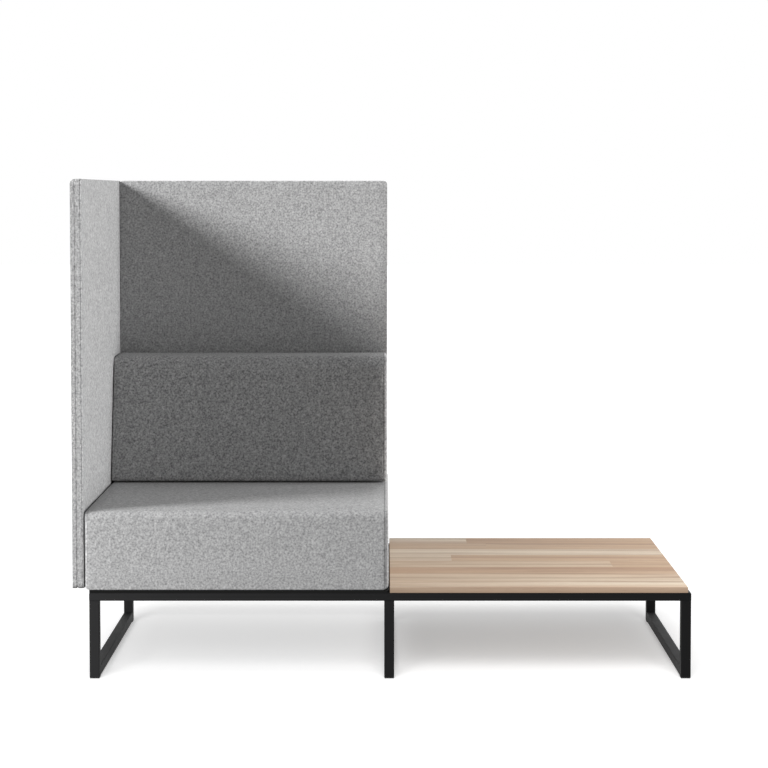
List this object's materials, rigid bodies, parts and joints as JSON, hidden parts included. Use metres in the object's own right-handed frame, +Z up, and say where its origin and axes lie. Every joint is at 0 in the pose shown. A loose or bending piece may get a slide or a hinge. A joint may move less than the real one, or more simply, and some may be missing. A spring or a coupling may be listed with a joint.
{
  "type": "high back lounge chair",
  "caption": "Felt-covered lounge seat with high side and back panels and a wedge back cushion, beside a low wood table on one black tube frame with loop legs.",
  "frame": {"origin": "middle of the unit's box, on the floor", "axes": "+X along the unit from the seat to the table, +Y back, +Z up; the front faces -Y"},
  "size_m": [1.5414, 0.7786, 1.245],
  "materials": {
    "felt": "melange wool felt, light grey",
    "steel": "satin black powder coat",
    "black_board": "matte black laminate",
    "ash": "glued light staves, matte lacquer",
    "plywood": "raw plywood",
    "foam": "open-cell foam",
    "nylon": "matte black nylon",
    "zinc": "zinc-plated steel",
    "hook_tape": "black woven tape"
  },
  "bodies": {
    "unit": {"front_rail": "steel", "rear_rail": "steel", "left_side_rail": "steel", "middle_cross_rail": "steel", "right_side_rail": "steel", "left_front_leg": "steel", "left_rear_leg": "steel", "left_skid": "steel", "middle_front_leg": "steel", "middle_rear_leg": "steel", "middle_skid": "steel", "right_front_leg": "steel", "right_rear_leg": "steel", "right_skid": "steel", "left_front_foot_insert": "nylon", "left_rear_foot_insert": "nylon", "middle_front_foot_insert": "nylon", "middle_rear_foot_insert": "nylon", "right_front_foot_insert": "nylon", "right_rear_foot_insert": "nylon", "seat_base_board": "black_board", "seat_box_frame": "plywood", "seat_deck": "plywood", "seat_foam": "foam", "seat_cover": "felt", "seat_screw_1": "zinc", "seat_screw_2": "zinc", "seat_screw_3": "zinc", "seat_screw_4": "zinc", "back_cushion_board": "plywood", "back_cushion_foam": "foam", "back_cushion_cover": "felt", "back_cushion_zip": "hook_tape", "left_hook_tape": "hook_tape", "right_hook_tape": "hook_tape", "side_panel_outer_pad": "foam", "side_panel_core": "plywood", "side_panel_inner_pad": "foam", "side_panel_cover": "felt", "back_panel_rear_pad": "foam", "back_panel_core": "plywood", "back_panel_front_pad": "foam", "back_panel_cover": "felt", "side_panel_bolt_1": "zinc", "side_panel_bolt_2": "zinc", "back_panel_bolt_1": "zinc", "back_panel_bolt_2": "zinc", "corner_dowel_1": "ash", "corner_dowel_2": "ash", "table_top": "ash", "table_screw_1": "zinc", "table_screw_2": "zinc", "table_screw_3": "zinc", "table_screw_4": "zinc"},
    "left_front_foot": {"left_front_leveller": "zinc"},
    "left_rear_foot": {"left_rear_leveller": "zinc"},
    "middle_front_foot": {"middle_front_leveller": "zinc"},
    "middle_rear_foot": {"middle_rear_leveller": "zinc"},
    "right_front_foot": {"right_front_leveller": "zinc"},
    "right_rear_foot": {"right_rear_leveller": "zinc"}
  },
  "joints": [
    {"name": "left_front_levelling", "type": "slide", "parent": "unit", "child": "left_front_foot", "axis": [0, 0, -1], "range_m": [0, 0.008]},
    {"name": "left_rear_levelling", "type": "slide", "parent": "unit", "child": "left_rear_foot", "axis": [0, 0, -1], "range_m": [0, 0.008]},
    {"name": "middle_front_levelling", "type": "slide", "parent": "unit", "child": "middle_front_foot", "axis": [0, 0, -1], "range_m": [0, 0.008]},
    {"name": "middle_rear_levelling", "type": "slide", "parent": "unit", "child": "middle_rear_foot", "axis": [0, 0, -1], "range_m": [0, 0.008]},
    {"name": "right_front_levelling", "type": "slide", "parent": "unit", "child": "right_front_foot", "axis": [0, 0, -1], "range_m": [0, 0.008]},
    {"name": "right_rear_levelling", "type": "slide", "parent": "unit", "child": "right_rear_foot", "axis": [0, 0, -1], "range_m": [0, 0.008]}
  ]
}
